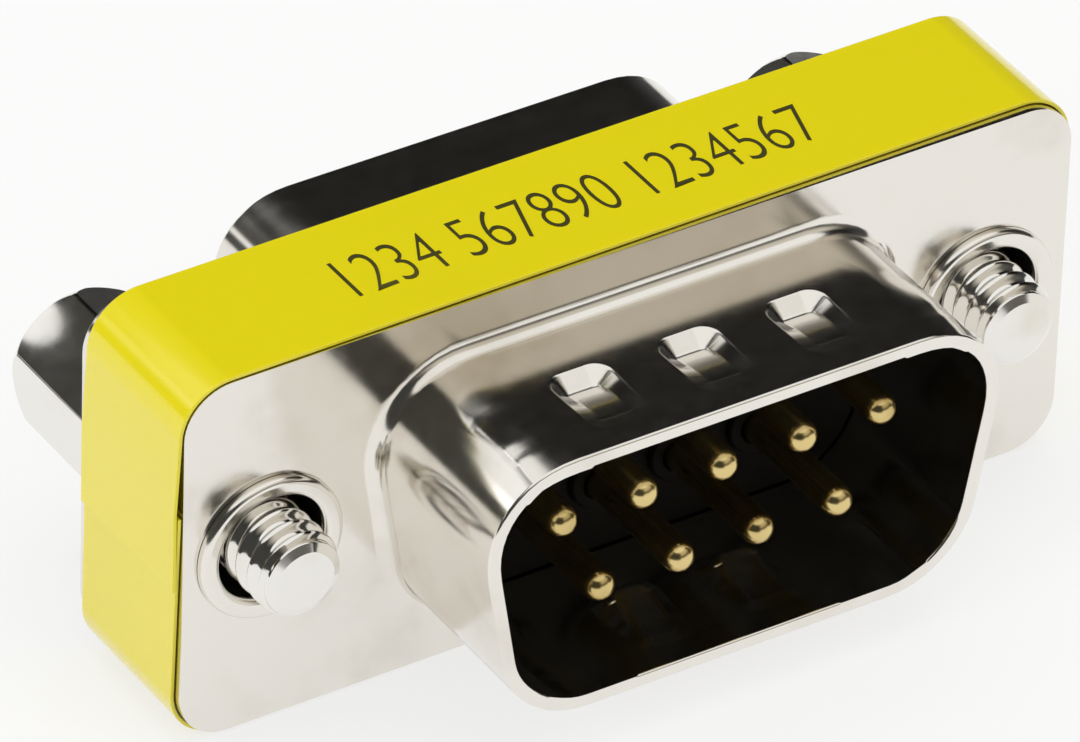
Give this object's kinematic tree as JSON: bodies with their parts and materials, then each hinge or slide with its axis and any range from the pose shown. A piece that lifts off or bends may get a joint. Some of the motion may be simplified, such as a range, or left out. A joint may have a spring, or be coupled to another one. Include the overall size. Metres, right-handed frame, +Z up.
{
  "type": "d-sub adapter",
  "caption": "Compact D-sub adapter: pin plug in a D-shaped metal shell in front, socket shell behind, wrap-round label band and captive jackscrews with hex heads.",
  "frame": {"origin": "bottom centre of the bounding box, on the surface that the adapter stands on", "axes": "+X along the flanges, to the right seen from the pins; +Y from the plug towards the socket; +Z up, on the side with five pins"},
  "size_m": [0.0313, 0.0174, 0.0128],
  "materials": {
    "plug_shell": "satin nickel plate",
    "socket_shell": "satin nickel plate",
    "sleeve": "satin nickel plate",
    "jackscrew": "bright nickel plate",
    "pin": "gold plate",
    "socket_contact": "gold plate",
    "plug_insulator": "black moulding",
    "socket_insulator": "black moulding",
    "spacer": "black moulding",
    "label": "yellow printed film, satin"
  },
  "bodies": {
    "adapter_body": {"plug_shell": "plug_shell", "socket_shell": "socket_shell", "plug_insulator": "plug_insulator", "socket_insulator": "socket_insulator", "spacer": "spacer", "label": "label", "sleeve_left": "sleeve", "sleeve_right": "sleeve", "pin_1": "pin", "pin_2": "pin", "pin_3": "pin", "pin_4": "pin", "pin_5": "pin", "pin_6": "pin", "pin_7": "pin", "pin_8": "pin", "pin_9": "pin", "socket_1": "socket_contact", "socket_2": "socket_contact", "socket_3": "socket_contact", "socket_4": "socket_contact", "socket_5": "socket_contact", "socket_6": "socket_contact", "socket_7": "socket_contact", "socket_8": "socket_contact", "socket_9": "socket_contact"},
    "jackscrew_left_body": {"jackscrew_left": "jackscrew"},
    "jackscrew_right_body": {"jackscrew_right": "jackscrew"}
  },
  "joints": [
    {"name": "jackscrew_left_turn", "type": "hinge", "parent": "adapter_body", "child": "jackscrew_left_body", "pos_m": [-0.01249, 0, 0.00643], "axis": [0, 1, 0], "continuous": true},
    {"name": "jackscrew_right_turn", "type": "hinge", "parent": "adapter_body", "child": "jackscrew_right_body", "pos_m": [0.01249, 0, 0.00643], "axis": [0, 1, 0], "continuous": true}
  ]
}
